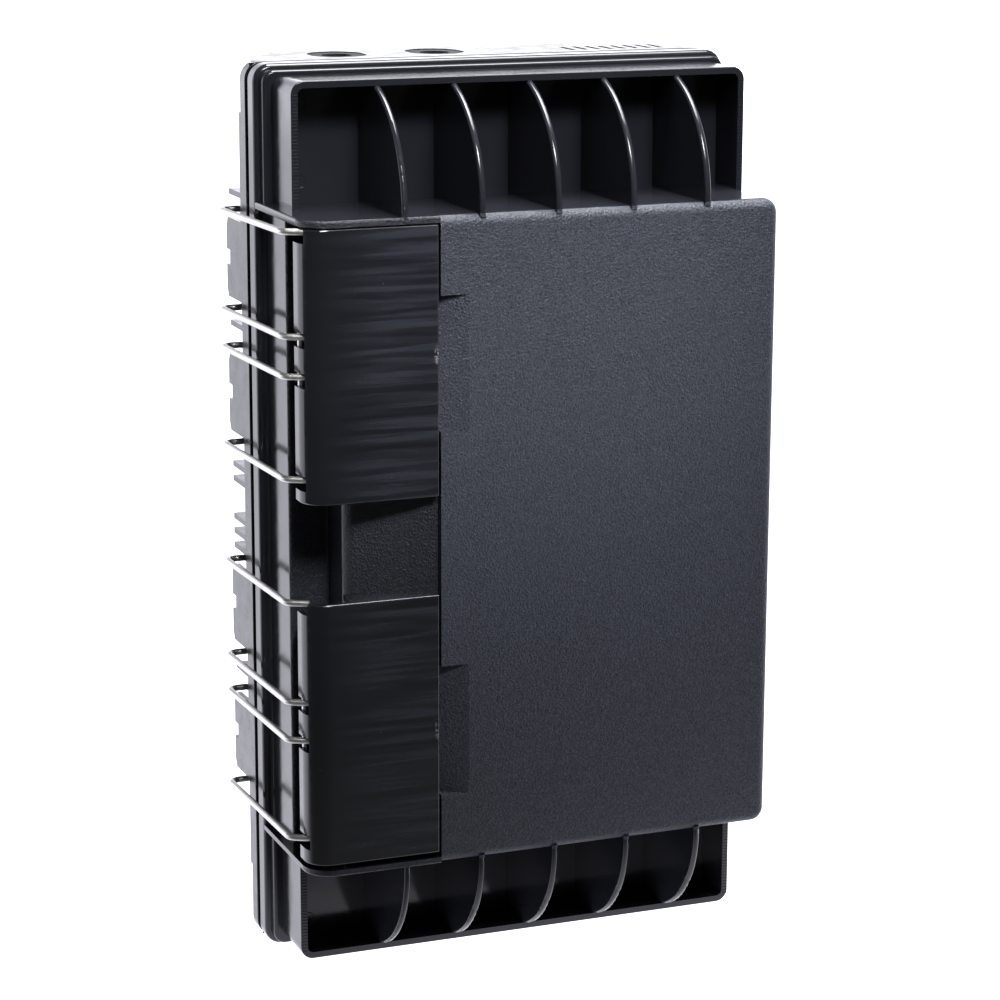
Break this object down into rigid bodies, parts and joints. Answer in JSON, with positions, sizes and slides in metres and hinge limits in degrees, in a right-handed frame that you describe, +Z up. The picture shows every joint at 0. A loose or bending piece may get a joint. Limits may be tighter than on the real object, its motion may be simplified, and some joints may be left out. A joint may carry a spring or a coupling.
{
  "type": "fibre splice box",
  "caption": "Wall box for joining fibre cables: hinged ribbed cover held by flap levers with wire bails, a sealed base with cable ports, and a stack of splice trays inside.",
  "frame": {"origin": "centre of the wall fixing pattern, on the back plane of the base", "axes": "+X to the right seen from the front (latches at -X, hinge at +X), +Y from the front panel to the wall, +Z up"},
  "size_m": [0.2455, 0.136, 0.414],
  "materials": {
    "cover_plastic": "moulded, fine leather grain on the panel, satin elsewhere",
    "base_plastic": "moulded, satin",
    "lever_plastic": "smooth gloss with fine scratches",
    "wire_steel": "drawn bright stainless wire",
    "seal_rubber": "matt black rubber",
    "pin_steel": "ground steel",
    "carrier_sheet": "plain sheet",
    "screw_steel": "bright zinc",
    "tray_plastic": "light grey moulding",
    "lid_clear": "clear sheet",
    "nut_plastic": "black moulding",
    "clamp_plastic": "black moulding",
    "insert_brass": "turned brass"
  },
  "bodies": {
    "base": {"base_shell": "base_plastic", "lid_gasket": "seal_rubber", "port_grommet_left": "seal_rubber", "port_grommet_right": "seal_rubber", "drop_cable_seal": "seal_rubber", "upper_hinge_pin": "pin_steel", "lower_hinge_pin": "pin_steel", "tray_carrier": "carrier_sheet", "carrier_screws": "screw_steel", "clamp_screws": "screw_steel", "tray_studs": "screw_steel", "splice_tray_1": "tray_plastic", "splice_tray_2": "tray_plastic", "splice_tray_3": "tray_plastic", "splice_tray_4": "tray_plastic", "splice_tray_5": "tray_plastic", "splice_tray_6": "tray_plastic", "tray_lid": "lid_clear", "tray_nuts": "nut_plastic", "cable_clamp_left": "clamp_plastic", "cable_clamp_right": "clamp_plastic", "mount_inserts": "insert_brass"},
    "cover": {"cover_shell": "cover_plastic"},
    "upper_lever": {"upper_latch_lever": "lever_plastic", "upper_lever_pin": "pin_steel"},
    "lower_lever": {"lower_latch_lever": "lever_plastic", "lower_lever_pin": "pin_steel"},
    "bail_1": {"latch_bail_1": "wire_steel"},
    "bail_2": {"latch_bail_2": "wire_steel"},
    "bail_3": {"latch_bail_3": "wire_steel"},
    "bail_4": {"latch_bail_4": "wire_steel"}
  },
  "joints": [
    {"name": "cover_hinge", "type": "hinge", "parent": "base", "child": "cover", "pos_m": [0.1191, -0.0543, 0], "axis": [0, 0, 1], "range_deg": [0, 115]},
    {"name": "upper_lever_pivot", "type": "hinge", "parent": "cover", "child": "upper_lever", "pos_m": [-0.1096, -0.1155, 0.0818], "axis": [0, 0, -1], "range_deg": [0, 100]},
    {"name": "lower_lever_pivot", "type": "hinge", "parent": "cover", "child": "lower_lever", "pos_m": [-0.1096, -0.1155, -0.0841], "axis": [0, 0, -1], "range_deg": [0, 100]},
    {"name": "bail_1_swing", "type": "hinge", "parent": "base", "child": "bail_1", "pos_m": [-0.1071, -0.0285, 0.11525], "axis": [0, 0, -1], "range_deg": [0, 95]},
    {"name": "bail_2_swing", "type": "hinge", "parent": "base", "child": "bail_2", "pos_m": [-0.1071, -0.0285, 0.05195], "axis": [0, 0, -1], "range_deg": [0, 95]},
    {"name": "bail_3_swing", "type": "hinge", "parent": "base", "child": "bail_3", "pos_m": [-0.1071, -0.0285, -0.04965], "axis": [0, 0, -1], "range_deg": [0, 95]},
    {"name": "bail_4_swing", "type": "hinge", "parent": "base", "child": "bail_4", "pos_m": [-0.1071, -0.0285, -0.11295], "axis": [0, 0, -1], "range_deg": [0, 95]}
  ]
}
